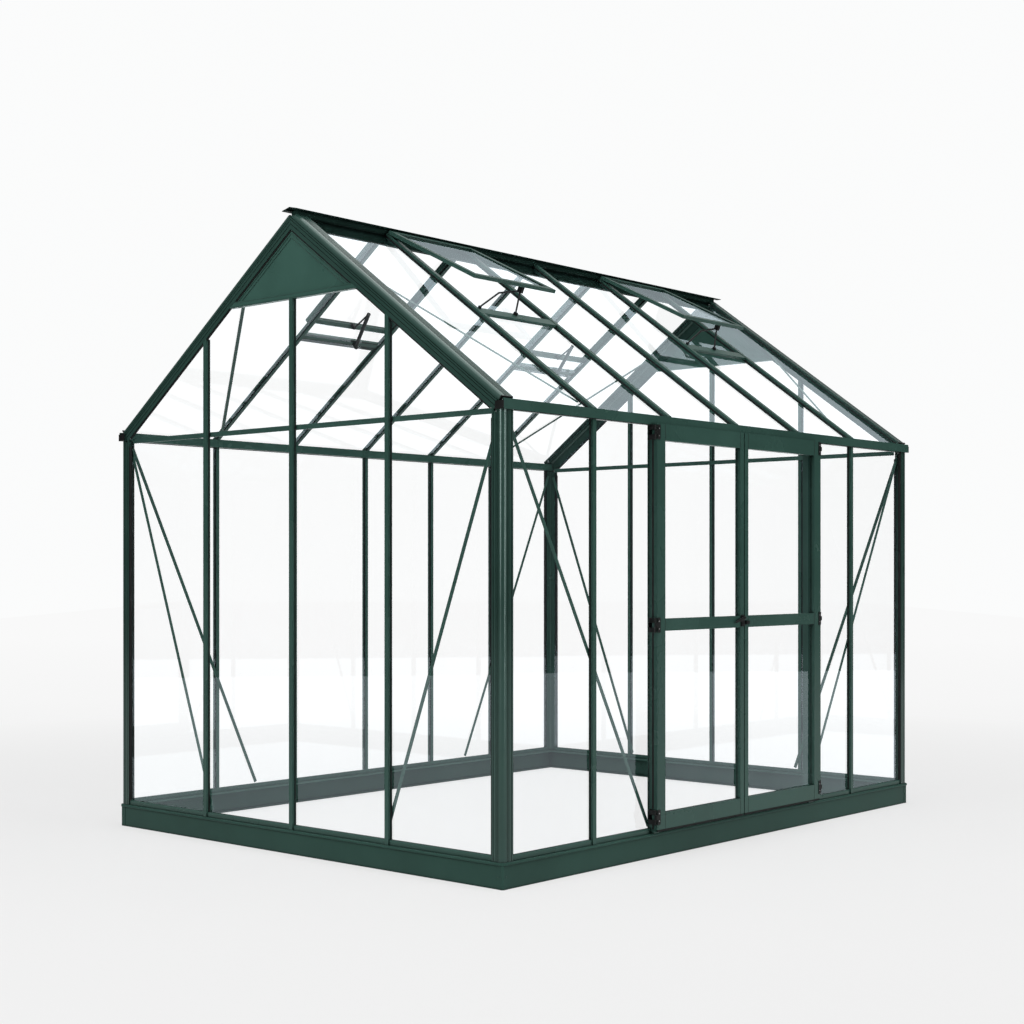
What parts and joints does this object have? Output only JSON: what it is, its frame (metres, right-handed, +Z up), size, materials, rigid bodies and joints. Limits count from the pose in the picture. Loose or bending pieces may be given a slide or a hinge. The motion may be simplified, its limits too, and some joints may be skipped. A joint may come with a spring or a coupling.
{
  "type": "greenhouse",
  "caption": "Walk-in glass greenhouse with a green aluminium frame, pitched roof, hinged double doors on the long side, roof vents, gutters and a low base.",
  "frame": {"origin": "on the ground, at the middle of the whole outline, doors and handle included", "axes": "+X along the ridge, +Z up; the double doors face -Y"},
  "size_m": [3.456, 2.71, 3],
  "materials": {
    "green_frame": "dark green powder coat, satin",
    "green_base": "dark green powder coat, satin",
    "glass": "clear",
    "black_fittings": "matte black"
  },
  "bodies": {
    "frame": {"apex_panels": "green_frame", "back_bars": "green_frame", "base_back": "green_base", "base_corner_covers": "green_base", "base_front": "green_base", "base_left": "green_base", "base_right": "green_base", "braces": "green_frame", "door_jambs": "green_frame", "end_caps": "black_fittings", "fixed_hinges": "black_fittings", "front_bars": "green_frame", "gable_bars_left": "green_frame", "gable_bars_right": "green_frame", "glass_back": "glass", "glass_front": "glass", "glass_left": "glass", "glass_right": "glass", "glass_roof_back": "glass", "glass_roof_front": "glass", "gutter_back": "green_frame", "gutter_front": "green_frame", "posts": "green_frame", "rafters_back": "green_frame", "rafters_front": "green_frame", "ridge_bar": "green_frame", "roof_bars_back": "green_frame", "roof_bars_front": "green_frame", "sills": "green_frame", "threshold": "green_frame", "tie_bars": "green_frame", "vent_glass": "glass", "vent_openers": "black_fittings", "vent_sills": "green_frame", "vents_back": "green_frame", "vents_front": "green_frame"},
    "left_door": {"left_door": "green_frame", "left_door_glass": "glass", "left_door_hinges": "black_fittings", "left_door_latch": "black_fittings"},
    "right_door": {"right_door": "green_frame", "right_door_glass": "glass", "right_door_hinges": "black_fittings", "right_door_keeper": "black_fittings"},
    "handle": {"door_handle": "black_fittings"}
  },
  "joints": [
    {"name": "left_door_hinge", "type": "hinge", "parent": "frame", "child": "left_door", "pos_m": [-0.718, -1.33, 1.06], "axis": [0, 0, -1], "range_deg": [0, 110]},
    {"name": "right_door_hinge", "type": "hinge", "parent": "frame", "child": "right_door", "pos_m": [0.718, -1.33, 1.06], "axis": [0, 0, 1], "range_deg": [0, 110]},
    {"name": "handle_turn", "type": "hinge", "parent": "left_door", "child": "handle", "pos_m": [-0.017, -1.351, 1.086], "axis": [0, -1, 0], "range_deg": [0, 40], "stiffness_Nm_per_rad": 2}
  ]
}
